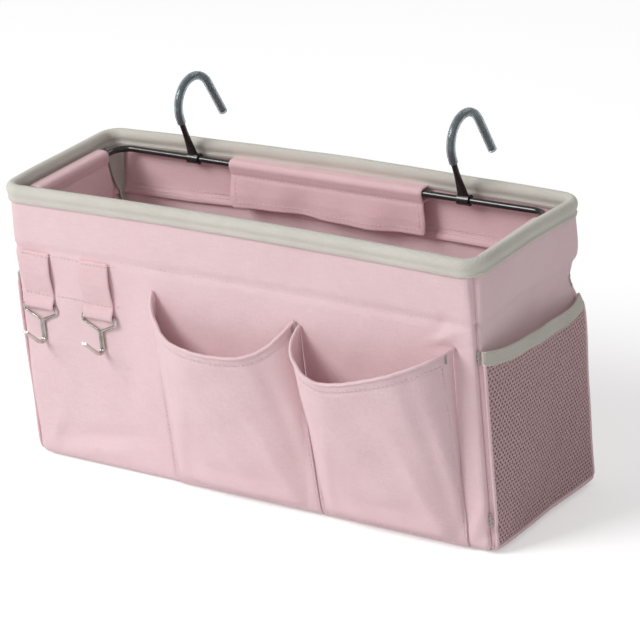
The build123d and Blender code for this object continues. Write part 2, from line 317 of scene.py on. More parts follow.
def thread_material(name, light, deep):
    return ribbed_material(name, light, deep, 1600.0, 0.00015, 0.5, 0.3, Roughness=0.6, Sheen_Weight=0.3,
                           Specular_IOR_Level=0.35)


def net_material(name, light, deep):
    return ribbed_material(name, light, deep, 2100.0, 0.0002, 0.4, 0.4, Roughness=0.55, Sheen_Weight=0.2,
                           Specular_IOR_Level=0.4)


def enamel_material(name):
    """Gloss black coating on wire, slightly orange-peeled, with dull rubbed patches."""
    material, nodes, shader, at = start_material(
        name, Specular_IOR_Level=0.55, Coat_Weight=0.6, Coat_Roughness=0.12)
    marks = use_group(nodes, SCUFFS, Place=at.outputs["Object"])
    colour = nodes.mix(nodes.math("MULTIPLY", marks["Scratch"], 0.2), rgb(22, 22, 24), rgb(72, 72, 74))
    nodes.link(colour, shader.inputs["Base Color"])
    rough = nodes.math("ADD", 0.2, nodes.math("MULTIPLY", marks["Dull"], 0.16))
    nodes.link(rough, shader.inputs["Roughness"])
    peel = nodes.noise(at.outputs["Object"], 700.0, 3.0, 0.5)
    add_bump(nodes, shader, peel, 0.00006)
    return material


def nickel_material(name):
    """Bright nickel plate with tiny scratches and a few dull spots."""
    material, nodes, shader, at = start_material(name, Metallic=1.0)
    marks = use_group(nodes, SCUFFS, Place=at.outputs["Object"])
    colour = nodes.mix(marks["Dull"], rgb(214, 212, 206), rgb(176, 172, 164))
    nodes.link(colour, shader.inputs["Base Color"])
    rough = nodes.math("ADD", 0.13, nodes.math("MULTIPLY", marks["Scratch"], 0.2))
    nodes.link(rough, shader.inputs["Roughness"])
    add_bump(nodes, shader, marks["Scratch"], 0.00002)
    return material


def tube_material(name):
    """Clear soft tube, faintly blue, with slight haze."""
    material, nodes, shader, at = start_material(
        name, Transmission_Weight=0.85, IOR=1.45, Specular_IOR_Level=0.6)
    tone = use_group(nodes, TONE, Place=at.outputs["Object"])
    nodes.link(nodes.mix(tone["Tone"], rgb(226, 236, 240), rgb(196, 212, 220)), shader.inputs["Base Color"])
    haze = nodes.noise(at.outputs["Object"], 160.0, 3.0, 0.6)
    nodes.link(nodes.math("ADD", 0.04, nodes.math("MULTIPLY", haze, 0.12)), shader.inputs["Roughness"])
    add_bump(nodes, shader, haze, 0.00015)
    return material


def board_material(name):
    """Off-white plastic sheet with a fine moulded grain."""
    material, nodes, shader, at = start_material(name, Roughness=0.55, Specular_IOR_Level=0.4)
    tone = use_group(nodes, TONE, Place=at.outputs["Object"])
    nodes.link(nodes.mix(tone["Tone"], rgb(236, 232, 226), rgb(220, 214, 206)), shader.inputs["Base Color"])
    grain = nodes.noise(at.outputs["Object"], 1800.0, 2.0, 0.5)
    add_bump(nodes, shader, grain, 0.00008)
    return material


MATERIALS = {
    "canvas": canvas_material("pink_canvas", rgb(250, 224, 228), rgb(238, 200, 205)),
    # Darker, more saturated copy of the same pink canvas for the turned-in band and the frame sleeves: painted
    # shade of the bag's inside, not a different cloth.
    "lining": canvas_material("pink_canvas_inside_painted_shade", rgb(250, 218, 222), rgb(236, 190, 196)),
    "webbing": canvas_material("pink_loop_canvas", rgb(249, 220, 224), rgb(236, 192, 198), 1250.0, 0.0003),
    "trim": tape_material("off_white_tape", rgb(244, 241, 232), rgb(206, 201, 188)),
    "net_trim": tape_material("off_white_net_tape", rgb(226, 222, 210), rgb(176, 174, 162), 700.0),
    "net": net_material("pink_net", rgb(240, 204, 206), rgb(216, 170, 174)),
    "thread": thread_material("pale_thread", rgb(255, 236, 236), rgb(232, 196, 198)),
    "grey_thread": thread_material("grey_thread", rgb(214, 208, 200), rgb(150, 144, 138)),
    "black_wire": enamel_material("black_enamel"),
    "nickel_wire": nickel_material("bright_nickel"),
    "clear_tube": tube_material("clear_tube"),
    "board": board_material("plastic_board"),
}


# ---------------------------------------------------------------- mesh helpers

def make_piece(name, points, faces, material, uv, replaces=()):
    """Points in millimetres become a finished piece of the bag in metres."""
    points = np.asarray(points, float)
    mesh = bpy.data.meshes.new(name)
    mesh.from_pydata((points * MM).tolist(), [], [list(face) for face in faces])
    mesh.update()
    layer = mesh.uv_layers.new(name="UVMap")
    corners = np.zeros(len(mesh.loops), int)
    mesh.loops.foreach_get("vertex_index", corners)
    layer.data.foreach_set("uv", (np.asarray(uv, float)[corners] * MM).ravel())
    mesh.polygons.foreach_set("use_smooth", [True] * len(mesh.polygons))
    mesh.materials.append(MATERIALS[material])
    piece = bpy.data.objects.new(name, mesh)
    bpy.context.scene.collection.objects.link(piece)
    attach(piece, "bag")
    if replaces:
        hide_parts(*replaces)
    return piece


def unit(vectors):
    return vectors / np.maximum(np.linalg.norm(vectors, axis=-1, keepdims=True), 1e-9)


def grid_normals(points, wrap):
    """Normals of a (rows, columns, 3) grid, to the side that columns cross rows points to."""
    if wrap:
        along = np.roll(points, -1, 1) - np.roll(points, 1, 1)
    else:
        along = np.gradient(points, axis=1)
    up = np.gradient(points, axis=0)
    return unit(np.cross(along, up))


def quad_grid(rows, columns, wrap=False, start=0, flip=False):
    last = columns if wrap else columns - 1
    faces = []
    for r in range(rows - 1):
        for c in range(last):
            d = (c + 1) % columns
            quad = (start + r * columns + c, start + r * columns + d,
                    start + (r + 1) * columns + d, start + (r + 1) * columns + c)
            faces.append(quad[::-1] if flip else quad)
    return faces


def sheet_data(points, uv, thickness, wrap=False):
    """A sheet as a closed skin: the given outer face, an inner face, and rounded edges."""
    rows, columns = points.shape[:2]
    normals = grid_normals(points, wrap)
    count = rows * columns
    inner = points - normals * thickness
    vertices = [points.reshape(-1, 3), inner.reshape(-1, 3)]
    maps = [uv.reshape(-1, 2), uv.reshape(-1, 2)]
    faces = quad_grid(rows, columns, wrap) + quad_grid(rows, columns, wrap, count, True)
    index = np.arange(count).reshape(rows, columns)
    if wrap:
        loops = [(list(index[0]), list(index[1])), (list(index[-1][::-1]), list(index[-2][::-1]))]
    else:
        ring = list(index[0]) + list(index[1:, -1]) + list(index[-1, -2::-1]) + list(index[-2:0:-1, 0])
        beside = (list(index[1]) + list(index[1:, -2]) + list(index[-2, -2::-1]) + list(index[-2:0:-1, 1]))
        beside[0], beside[columns - 1] = index[1, 1], index[1, -2]
        loops = [(ring, beside)]
    flat, flat_inner = vertices
    start = 2 * count
    for ring, beside in loops:
        outward = unit(flat[ring] - flat[beside])
        middle = (flat[ring] + flat_inner[ring]) / 2 + outward * thickness * 0.42
        vertices.append(middle)
        maps.append(maps[0][ring])
        size = len(ring)
        for k in range(size):
            n = (k + 1) % size
            faces.append((ring[n], ring[k], start + k, start + n))
            faces.append((start + n, start + k, count + ring[k], count + ring[n]))
        start += size
    return np.concatenate(vertices), faces, np.concatenate(maps)


def sheet_piece(name, points, uv, thickness, material, wrap=False, **more):
    vertices, faces, uv = sheet_data(points, uv, thickness, wrap)
    return make_piece(name, vertices, faces, material, uv=uv, **more)


def join_parts(parts):
    """Several (points, faces, uv) sets as one."""
    points, faces, maps, start = [], [], [], 0
    for part_points, part_faces, part_uv in parts:
        points.append(part_points)
        maps.append(part_uv)
        faces += [tuple(i + start for i in face) for face in part_faces]
        start += len(part_points)
    return np.concatenate(points), faces, np.concatenate(maps)


def run_lengths(path):
    return np.concatenate([[0], np.cumsum(np.linalg.norm(np.diff(path, axis=0), axis=1))])


def resample(path, distances):
    run = run_lengths(path)
    return np.stack([np.interp(distances, run, path[:, k]) for k in range(3)], 1)


def tube_data(path, normals, width, height, sides=8):
    """Tube of elliptical section along a path: width across the given normals, height along them."""
    along = unit(np.gradient(path, axis=0))
    across = unit(np.cross(normals, along))
    lift = np.cross(along, across)
    turns = np.linspace(0, 2 * math.pi, sides, endpoint=False)
    ring = (across[:, None] * np.cos(turns)[None, :, None] * width / 2
            + lift[:, None] * np.sin(turns)[None, :, None] * height / 2)
    points = (path[:, None] + ring).reshape(-1, 3)
    rows = len(path)
    faces = quad_grid(rows, sides, True)
    faces.append(tuple(range(sides))[::-1])
    faces.append(tuple((rows - 1) * sides + k for k in range(sides)))
    run = run_lengths(path)
    uv = np.stack([np.repeat(run, sides), np.tile(turns * width / 2, rows)], 1)
    return points, faces, uv


STITCH_RINGS = ((-0.5, 0.12), (-0.42, 0.62), (-0.2, 1.0), (0.2, 1.0), (0.42, 0.62), (0.5, 0.12))


def stitches(name, runs, pitch=3.3, length=2.5, width=0.75, height=0.6, material="thread"):
    """Rows of separate lock stitches, one for each (path, normals); a stitch dips in at its ends."""
    sides = 6
    turns = np.linspace(0, 2 * math.pi, sides, endpoint=False)
    parts = []
    for path, normals in runs:
        run = run_lengths(path)
        count = max(int(run[-1] / pitch), 1)
        centres = (np.arange(count) + 0.5) * run[-1] / count
        wobble = np.sin(centres * 1.7) * 0.12
        middle = resample(path, centres)
        along = unit(resample(path, centres + 0.3) - resample(path, centres - 0.3))
        lift = unit(np.stack([np.interp(centres, run, normals[:, k]) for k in range(3)], 1))
        across = unit(np.cross(lift, along))
        for k in range(count):
            rings = []
            for place, size in STITCH_RINGS:
                centre = middle[k] + along[k] * place * length + across[k] * wobble[k]
                centre = centre + lift[k] * height * (0.35 * size - 0.2)
                ring = (across[k] * np.cos(turns)[:, None] * width / 2
                        + lift[k] * np.sin(turns)[:, None] * height / 2) * size
                rings.append(centre + ring)
            faces = quad_grid(len(rings), sides, True)
            faces.append(tuple(range(sides))[::-1])
            faces.append(tuple((len(rings) - 1) * sides + j for j in range(sides)))
            uv = np.array([[centres[k] + place * length, turn * width / 2]
                           for place, _ in STITCH_RINGS for turn in turns])
            parts.append((np.concatenate(rings), faces, uv))
    points, faces, uv = join_parts(parts)
    return make_piece(name, points, faces, material, uv=uv)


# ---------------------------------------------------------------- shape of the box

def turn_steps():
    """Where the plan's straight sides start and end along it, with their corner centres and turns."""
    quarter = math.pi / 2 * CORNER_BODY
    long_side, short_side = 2 * (HALF_LENGTH - CORNER_BODY), 2 * (HALF_DEPTH - CORNER_BODY)
    lengths = [long_side / 2, quarter, short_side, quarter, long_side, quarter, short_side, quarter,
               long_side / 2]
    marks = np.concatenate([[0], np.cumsum(lengths)])
    side_x = np.array([0, 1, 1, 1, 1, -1, -1, -1, -1, 0])
    side_y = np.array([-1, -1, -1, 1, 1, 1, 1, -1, -1, -1])
    turns = np.radians([-90, -90, 0, 0, 90, 90, 180, 180, 270, 270])
    return marks, side_x, side_y, turns


PLAN_MARKS, PLAN_X, PLAN_Y, PLAN_TURNS = turn_steps()
PLAN_LENGTH = PLAN_MARKS[-1]
RIGHT_START, RIGHT_END = PLAN_MARKS[2:4]
LEFT_START, LEFT_END = PLAN_MARKS[6:8]
CORNER_MIDDLES = [(PLAN_MARKS[k] + PLAN_MARKS[k + 1]) / 2 for k in (1, 3, 5, 7)]


def smooth(value, low, high):
    t = np.clip((value - low) / (high - low), 0, 1)
    return t * t * (3 - 2 * t)


def hill(value, centre, width):
    return np.exp(-((value - centre) / width) ** 2)


def along_gap(s, place):
    """Distance along the plan from a place, the short way round."""
    return (s - place + PLAN_LENGTH / 2) % PLAN_LENGTH - PLAN_LENGTH / 2


def ripple(s, z):
    """Slight unevenness of stiff canvas."""
    waves = (np.sin(s / 31.0 + z / 47.0 + 0.6) + 0.7 * np.sin(s / 17.0 - z / 29.0 + 1.9)
             + 0.45 * np.sin(s / 9.3 + z / 13.0 + 4.1) + 0.6 * np.sin(z / 21.0 - s / 63.0 + 2.2)
             + 0.3 * np.sin(s / 5.1 - z / 7.7 + 0.3))
    return waves * 0.32


# Soft folds: place along the plan, height, direction in degrees, half length, half width, rise.
SOFT_FOLDS = [
    (-132.0, 14.0, 12.0, 42.0, 6.0, 1.9),
    (-118.0, 26.0, 8.0, 36.0, 7.0, -1.7),
    (-165.0, 22.0, 62.0, 22.0, 5.0, 1.5),
    (-95.0, 12.0, -6.0, 26.0, 5.0, 1.3),
    (-150.0, 95.0, 80.0, 50.0, 14.0, 1.2),
    (-92.0, 92.0, 86.0, 60.0, 11.0, -1.4),
    (-60.0, 175.0, 70.0, 22.0, 20.0, 0.8),
    (60.0, 176.0, 100.0, 20.0, 26.0, -0.8),
    (162.0, 149.0, 28.0, 13.0, 2.6, 1.5),
    (166.0, 142.0, 8.0, 12.0, 2.4, -1.3),
    (160.0, 157.0, 50.0, 10.0, 3.0, -1.0),
    (176.0, 24.0, 70.0, 16.0, 3.0, 1.6),
    (181.0, 14.0, 40.0, 12.0, 2.6, -1.4),
]


def relief(s, z):
    """How far the canvas stands out of the plain box, in millimetres."""
    below = smooth(z, 158, 140)
    out = ripple(s, z) * (0.35 + 0.65 * below)
    belly = np.sin(np.clip(z / 150, 0, 1) * math.pi) ** 0.8
    long_wall = np.maximum(np.clip(1 - np.abs(along_gap(s, 0)) / 178, 0, 1),
                           np.clip(1 - np.abs(along_gap(s, PLAN_LENGTH / 2)) / 178, 0, 1))
    out += belly * 2.2 * np.sin(np.clip(long_wall, 0, 1) * math.pi / 2) ** 0.6
    for place, height, turn, length, width, rise in SOFT_FOLDS:
        ds, dz = along_gap(s, place), z - height
        c, n = math.cos(math.radians(turn)), math.sin(math.radians(turn))
        out += rise * np.exp(-((ds * c + dz * n) / length) ** 2 - ((dz * c - ds * n) / width) ** 2)
    right_middle = (RIGHT_START + RIGHT_END) / 2
    left_middle = (LEFT_START + LEFT_END) / 2
    for middle in (right_middle, left_middle):
        across = np.clip(1 - (along_gap(s, middle) / 60) ** 2, 0, 1)
        out -= 4.0 * across ** 0.5 * hill(z, 142, 17)
        out += 1.6 * across * hill(z, 180, 22)
    pinch = along_gap(s, CORNER_MIDDLES[1])
    out -= 7.0 * hill(pinch, 0, 17) * hill(z, 147, 13)
    out -= 3.5 * hill(along_gap(s, CORNER_MIDDLES[2]), 0, 15) * hill(z, 148, 11)
    out -= 1.3 * hill(z, BAND_LINE, 2.4)
    return out


BAND_LINE = FACING_FOOT + 1.0


def box_point(s, z, depth=0.0):
    """Point of the box's canvas, s round it and z up it, depth below its outer face."""
    s, z, depth = np.broadcast_arrays(*(np.asarray(v, float) for v in (s, z, depth)))
    turn = np.interp(s % PLAN_LENGTH, PLAN_MARKS, PLAN_TURNS)
    side_x = np.interp(s % PLAN_LENGTH, PLAN_MARKS, PLAN_X)
    side_y = np.interp(s % PLAN_LENGTH, PLAN_MARKS, PLAN_Y)
    radius = CORNER_BODY + (CORNER_TOP - CORNER_BODY) * smooth(z, 150, HEIGHT)
    top = smooth(z, 120, HEIGHT)
    half_x, half_y = HALF_LENGTH + 1.5 + 1.5 * top, HALF_DEPTH + 0.3
    out = relief(s, z) * smooth(z, 0, 16) * smooth(z, HEIGHT + 3, HEIGHT - 14) - depth
    under = ROLL * (1 - np.sqrt(np.clip(1 - np.clip((ROLL - z) / ROLL, 0, 1) ** 2, 0, 1)))
    reach = radius + out - under
    x = side_x * (half_x - radius) + reach * np.cos(turn)
    y = side_y * (half_y - radius) + reach * np.sin(turn)
    bow = np.cos(np.clip(x / HALF_LENGTH, -1, 1) * math.pi / 2) * RIM_BOW
    bow = bow * smooth(z, 110, HEIGHT) * smooth(np.abs(y), 30, 55)
    rear_right = smooth(x, 120, HALF_LENGTH) * smooth(y, 0, HALF_DEPTH)
    x = x + 4.5 * rear_right
    y = y - 3.0 * smooth(x, 60, -HALF_LENGTH) * smooth(y, 0, HALF_DEPTH) * top
    return np.stack([x, y, z + bow], -1)


def box_normal(s, z):
    ds = box_point(np.asarray(s) + 1.0, z) - box_point(np.asarray(s) - 1.0, z)
    dz = box_point(s, np.asarray(z) + 1.0) - box_point(s, np.asarray(z) - 1.0)
    return unit(np.cross(ds, dz))


def seam_place(corner):
    """Where the upright seam of a corner (0 front right, on round to 3 front left) crosses the plan."""
    share = SEAM_TURN / 90
    if corner in (1, 3):
        share = 1 - share
    low, high = PLAN_MARKS[2 * corner + 1], PLAN_MARKS[2 * corner + 2]
    return low + (high - low) * share


SEAMS = [seam_place(k) for k in range(4)]
WALLS = {
    "front": (SEAMS[3] - PLAN_LENGTH, SEAMS[0]),
    "right_end": (SEAMS[0], SEAMS[1]),
    "back": (SEAMS[1], SEAMS[2]),
    "left_end": (SEAMS[2], SEAMS[3]),
}


def wall_rows():
    roll = ROLL * (1 - np.cos(np.linspace(0.12, math.pi / 2, 8)))
    return np.concatenate([roll, np.arange(ROLL + STEP, HEIGHT - 1, STEP), [HEIGHT - 1]])


def seam_dip(s, low, high):
    """Walls turn in where they meet at the upright seams."""
    edge = np.minimum(s - low, high - s)
    return 1.7 * np.exp(-(edge / 1.5) ** 2) - 0.5 * np.exp(-((edge - 3.5) / 1.6) ** 2)


def make_walls():
    heights = wall_rows()
    for side, (low, high) in WALLS.items():
        inner = np.arange(low + 4.5, high - 4.5, STEP)
        edge = np.array([0.15, 0.8, 1.6, 2.5, 3.5])
        columns = np.concatenate([low + edge, inner, (high - edge)[::-1]])
        s, z = np.meshgrid(columns, heights)
        points = box_point(s, z, seam_dip(s, low, high))
        sheet_piece(f"{side}_canvas", points, np.stack([s, z], -1), CANVAS, "canvas",
                    replaces=[f"{side}_panel"])


def make_bottom():
    """Bottom cloth: a rounded plate, slightly dished between its edges, with a seam ridge round it."""
    rings = np.array([0.0, 0.4, 1.2, 2.5, 4.5, 7.0, 12, 20, 30, 40, 49])
    s = np.arange(0, PLAN_LENGTH, 3.0)
    edge = box_point(s, np.full_like(s, 0.4))
    grid = []
    for inset in rings:
        scale_x = (HALF_LENGTH - ROLL - inset) / (HALF_LENGTH - ROLL)
        scale_y = max(HALF_DEPTH - ROLL - inset, 0.0) / (HALF_DEPTH - ROLL)
        ring = edge * np.array([scale_x, scale_y, 0])
        ring[:, 2] = 0.05 + 0.9 * smooth(np.array(inset), 0.5, 6) + 0.25 * np.sin(ring[:, 0] / 23)
        ring[:, 2] = np.maximum(ring[:, 2], 0.05)
        grid.append(ring)
    points = np.array(grid)[::-1]
    uv = points[..., :2].copy()
    vertices, faces, maps = sheet_data(points[:, ::-1], uv[:, ::-1], -1.2, True)
    return make_piece("bottom_canvas", vertices, faces, "canvas", uv=maps, replaces=["bottom_panel"])


def make_facing():
    """Band turned in at the top: it hangs from the rim inside the walls, its hem waving slightly."""
    s = np.arange(0, PLAN_LENGTH, STEP)
    heights = np.concatenate([[0, 0.7, 1.6, 3, 5], np.arange(7.5, HEIGHT - FACING_FOOT - 1, STEP)])
    ss, up = np.meshgrid(s, heights)
    z = FACING_FOOT - 1.5 + up + 0.9 * np.sin(ss / 27.0) * smooth(up, 20, 0)
    lift = (0.55 + 0.45 * np.sin(ss / 19.0 + 1.0)) * smooth(up, 16, 0) + 0.5 * smooth(up, 2.5, 0)
    hem = -0.35 * hill(up, 5.0, 1.2)
    points = box_point(ss, z, CANVAS + 0.25 + lift + hem)
    vertices, faces, uv = sheet_data(points, np.stack([ss, z], -1), FACING, True)
    # The band inside the rim takes the darker canvas copy, which is painted shade.
    make_piece("facing_canvas", vertices, faces, "lining", uv=uv, replaces=["top_facing"])
    inner = CANVAS + FACING + 0.8
    for row, up_row in (("lower", 4.6), ("upper", 7.6)):
        path = np.arange(0, PLAN_LENGTH, 2.0)
        z_row = FACING_FOOT - 1.5 + up_row + 0.9 * np.sin(path / 27.0)
        line = box_point(path, z_row, inner)
        stitches(f"facing_stitching_{row}", [(line, -box_normal(path, z_row))], width=0.6, height=0.45)


# ---------------------------------------------------------------- rim binding

# Outer edge of the binding's section, upward: distance out from the wall, height above its foot.
RIM_FLANGE = [(0.7, 0.0), (1.15, 0.3), (1.3, 1.4), (1.25, 2.7), (0.95, 3.4)]
RIM_ROLL_TOP = 12.2
RIM_FOOT = HEIGHT - 9.6
RIB_PITCH = 2.15
RIB_RISE = 0.55


def rim_section():
    wall = CANVAS + FACING
    middle = -wall / 2 - 0.35
    turns = np.radians(np.linspace(-34, 214, 23))
    half_width, half_height = wall / 2 + 2.5, 4.35
    centre = RIM_ROLL_TOP - half_height
    roll = [(middle + half_width * math.cos(t), centre + half_height * math.sin(t)) for t in turns]
    inside = [(-wall - 0.45 - d, h) for d, h in reversed(RIM_FLANGE)]
    closing = [(-wall - 0.1, 0.6), (-wall + 0.1, 7.0), (-0.1, 7.0), (0.1, 0.6)]
    section = np.array(RIM_FLANGE + roll + inside + closing)
    ribbed = np.zeros(len(section))
    fade = np.sin(np.linspace(0.25, math.pi - 0.25, len(roll))) ** 0.5
    ribbed[len(RIM_FLANGE):len(RIM_FLANGE) + len(roll)] = fade
    return section, ribbed


def make_rim():
    """Tape folded over the rim: a ribbed roll on top, with a flat edge sewn down inside and out."""
    section, ribbed = rim_section()
    pitch = 0.42
    count = int(PLAN_LENGTH / pitch)
    s = np.linspace(0, PLAN_LENGTH, count, endpoint=False)
    girth = np.concatenate([[0], np.cumsum(np.linalg.norm(np.diff(section, axis=0), axis=1))])
    ribs = round(PLAN_LENGTH / RIB_PITCH)
    centre = section.mean(0)
    away = unit(section - centre)
    ss = s[None, :]
    phase = 2 * math.pi * (ss / PLAN_LENGTH * ribs - girth[:, None] / RIB_PITCH * 0.62)
    wobble = 0.16 * np.sin(ss / 7.0 + girth[:, None] * 0.4) + 0.1 * np.sin(ss / 3.1)
    height = (np.abs(np.sin(phase / 2 + wobble)) - 0.6) * RIB_RISE * ribbed[:, None]
    sway = 0.35 * np.sin(ss / 23.0) + 0.25 * np.sin(ss / 11.0 + 2)
    depth = section[:, :1] + away[:, :1] * height
    up = section[:, 1:] + away[:, 1:] * height + 0.25 * sway
    flat = box_point(ss + 0 * depth, np.full_like(depth, HEIGHT - 4.0), 0)
    turn = np.interp(s, PLAN_MARKS, PLAN_TURNS)
    out = np.stack([np.cos(turn), np.sin(turn), 0 * turn], -1)[None]
    points = flat + out * (depth + 0.3 * sway)[..., None]
    points[..., 2] += up - (HEIGHT - 4.0) + RIM_FOOT
    rows = len(section)
    faces = quad_grid(rows, count, True)
    faces += [((rows - 1) * count + k, (rows - 1) * count + (k + 1) % count, (k + 1) % count, k)
              for k in range(count)]
    uv = np.stack([ss + 0 * depth, girth[:, None] + 0 * ss], -1)
    make_piece("rim_binding", points.reshape(-1, 3), faces, "trim", uv=uv.reshape(-1, 2), replaces=["rim_tape"])
    for name, side in (("outer", 1), ("inner", -1)):
        walk = np.arange(0, PLAN_LENGTH, 2.0)
        direction = np.interp(walk, PLAN_MARKS, PLAN_TURNS)
        facing_out = np.stack([np.cos(direction), np.sin(direction), 0 * direction], -1) * side
        base = box_point(walk, np.full_like(walk, HEIGHT - 4.0))
        reach = 1.5 if side > 0 else CANVAS + FACING + 2.0
        line = base + facing_out * reach
        line[:, 2] += RIM_FOOT + 2.1 - (HEIGHT - 4.0)
        stitches(f"rim_stitching_{name}", [(line, facing_out)], pitch=2.9, length=2.2, width=0.6, height=0.4)


# ---------------------------------------------------------------- seam tapes inside the corners

def make_corner_tapes():
    names = ["front_right", "back_right", "back_left", "front_left"]
    floor = span("base_board")[1][2]
    for name, middle in zip(names, CORNER_MIDDLES):
        half = 5.6
        across = np.array([-1.0, -0.86, -0.6, -0.3, 0, 0.3, 0.6, 0.86, 1.0]) * half
        heights = np.arange(floor + 2, RIM_FOOT + 1, STEP)
        shift, z = np.meshgrid(across, heights)
        sway = 0.7 * np.sin(z / 17.0 + middle)
        over_facing = FACING * smooth(z, FACING_FOOT - 5, FACING_FOOT + 3)
        edge_lift = 0.35 * smooth(np.abs(shift), half * 0.6, half)
        depth = CANVAS + 1.6 + over_facing + edge_lift + 0.12 * np.sin(z / 5)
        stretch = 1.35
        points = box_point(middle + (shift + sway) * stretch, z, depth)
        vertices, faces, uv = sheet_data(points[:, ::-1], np.stack([shift, z], -1)[:, ::-1], -0.8)
        make_piece(f"corner_tape_{name}", vertices, faces, "trim", uv=uv,
                   replaces=[f"seam_tape_{name}"])


make_walls()
make_bottom()
make_facing()
make_rim()
make_corner_tapes()


# ---------------------------------------------------------------- sleeves round the carrying frame

def smooth_path(points, count):
    """Dense, rounded run through a few points."""
    points = np.asarray(points, float)
    run = run_lengths(points)
    dense = resample(points, np.linspace(0, run[-1], count * 4))
    for _ in range(count // 3):
        dense[1:-1] = (dense[:-2] + 2 * dense[1:-1] + dense[2:]) / 4
    return resample(dense, np.linspace(0, run_lengths(dense)[-1], count))


SLEEVE = 1.2
SLEEVE_OUTER = ROD_RADIUS + 0.35 + SLEEVE
SLEEVE_SIDES = {
    "back": ((0, -1, 0), (0, ROD_Y, ROD_Z)),
    "front": ((0, 1, 0), (0, -ROD_Y, ROD_Z)),
    "left": ((1, 0, 0), (-ROD_X, 0, ROD_Z)),
    "right": ((-1, 0, 0), (ROD_X, 0, ROD_Z)),
}
TIE_DEPTH = 7.0


def sleeve_path(drop):
    """Run of the strip across the bar: off the wall, over the bar, pinched below it, hanging free."""
    arc = [(SLEEVE_OUTER * math.cos(t), SLEEVE_OUTER * math.sin(t)) for t in np.radians(range(110, -31, -20))]
    below = [(2.6, -5.0), (1.9, -TIE_DEPTH), (2.4, -10), (3.0, -20), (2.6, drop)]
    points = [(-7.0, 3.4), (-4.2, 3.9)] + arc + below
    return smooth_path([(n, 0, h) for n, h in points], 46)


def make_sleeve(side):
    inward, centre = (np.array(v, float) for v in SLEEVE_SIDES[side])
    along = np.cross(inward, (0, 0, 1))
    low, high = span(f"{side}_sleeve")
    ends = sorted(((low - centre) @ np.abs(along), (high - centre) @ np.abs(along)))
    path = sleeve_path(low[2] - ROD_Z + 1.2)
    walk = np.arange(ends[0], ends[1] + 0.1, 2.0)
    sign = along @ np.abs(along)
    rows, columns = len(path), len(walk)
    hang = smooth(-path[:, 2], TIE_DEPTH, TIE_DEPTH + 22)[:, None]
    wave = hang * (1.5 * np.sin(walk / 15.0 + centre[0]) + 0.8 * np.sin(walk / 6.1 + 2.0))
    middle = (ends[0] + ends[1]) / 2
    edge = smooth(np.abs(walk - middle), (ends[1] - ends[0]) / 2 - 14, (ends[1] - ends[0]) / 2)
    sway = edge * np.sign(walk - middle) * 1.6 * np.sin(-path[:, 2:] / 8.0) * hang
    place = walk[None, ::int(sign)] + (sway[:, ::int(sign)])
    reach = path[:, :1] + wave[:, ::int(sign)] - 0.25 * hill(path[:, 2:], -TIE_DEPTH, 1.2)
    points = (centre + place[..., None] * np.abs(along) + reach[..., None] * inward
              + np.array([0, 0, 1.0]) * (path[:, 2:] + 0.8 * hang * np.sin(walk / 21.0))[..., None])
    run = run_lengths(path)
    uv = np.stack([np.broadcast_to(walk, (rows, columns)), np.repeat(run[:, None], columns, 1)], -1)
    # Sleeve and tie take the darker canvas copy, which is painted shade of the bag's inside.
    piece = sheet_piece(f"{side}_sleeve_cloth", points, uv, SLEEVE, "lining", replaces=[f"{side}_sleeve"])
    outward = grid_normals(points, False)
    runs = []
    for height in (-TIE_DEPTH, low[2] - ROD_Z + 5.0):
        row = int(np.argmin(np.abs(path[:, 2] - height)))
        runs.append((points[row, 2:-2], outward[row, 2:-2]))
    first = int(np.argmin(np.abs(path[:, 2] + TIE_DEPTH)))
    last = int(np.argmin(np.abs(path[:, 2] - (low[2] - ROD_Z + 5.0))))
    for column in (2, columns - 3):
        runs.append((points[first:last, column], outward[first:last, column]))
    stitches(f"{side}_sleeve_stitching", runs, width=0.6, height=0.45)
    tie = smooth_path([(0.4, 0, -TIE_DEPTH), (-3.5, 0, -TIE_DEPTH + 0.6), (-6.6, 0, -TIE_DEPTH - 0.4)], 6)
    short = walk[None, ::int(sign)] + 0 * tie[:, :1]
    under = (centre + short[..., None] * np.abs(along) + (tie[:, :1] + 0 * short)[..., None] * inward
             + np.array([0, 0, 1.0]) * (tie[:, 2:] + 0 * short)[..., None])
    tie_uv = np.stack([short, np.repeat(run_lengths(tie)[:, None], columns, 1)], -1)
    sheet_piece(f"{side}_sleeve_tie", under, tie_uv, 1.0, "lining")
    return piece, run[-1], ends[1] - ends[0]


# ---------------------------------------------------------------- front pockets

POCKETS_LEFT = span("front_pocket_left")[0][0]
POCKETS_RIGHT = span("front_pocket_right")[1][0]
POCKETS_SEAM = (span("front_pocket_left")[1][0] + span("front_pocket_right")[0][0]) / 2
# Each pocket: ends of its mouth and foot in x, heights of the mouth's ends, reach forward and sag.
# The mouth bows out as an ellipse on the left and squarer on the right; dip and skew shape its sag.
POCKETS = {
    "left": dict(mouth=(POCKETS_LEFT - 1.5, POCKETS_SEAM - 3.5), foot=(POCKETS_LEFT - 2, POCKETS_SEAM + 2.5),
                 top=(143, 141), reach=32, sag=23, arch=(2, 2), dip=4, skew=(1, 1)),
    "right": dict(mouth=(POCKETS_SEAM, POCKETS_RIGHT), foot=(POCKETS_SEAM + 4, POCKETS_RIGHT - 1),
                  top=(138, 142), reach=39, sag=21, arch=(3, 2.5), dip=1.5, skew=(1, 0.6)),
}
POCKET_FOOT = 2.5
POCKET_HEEL = 6.5
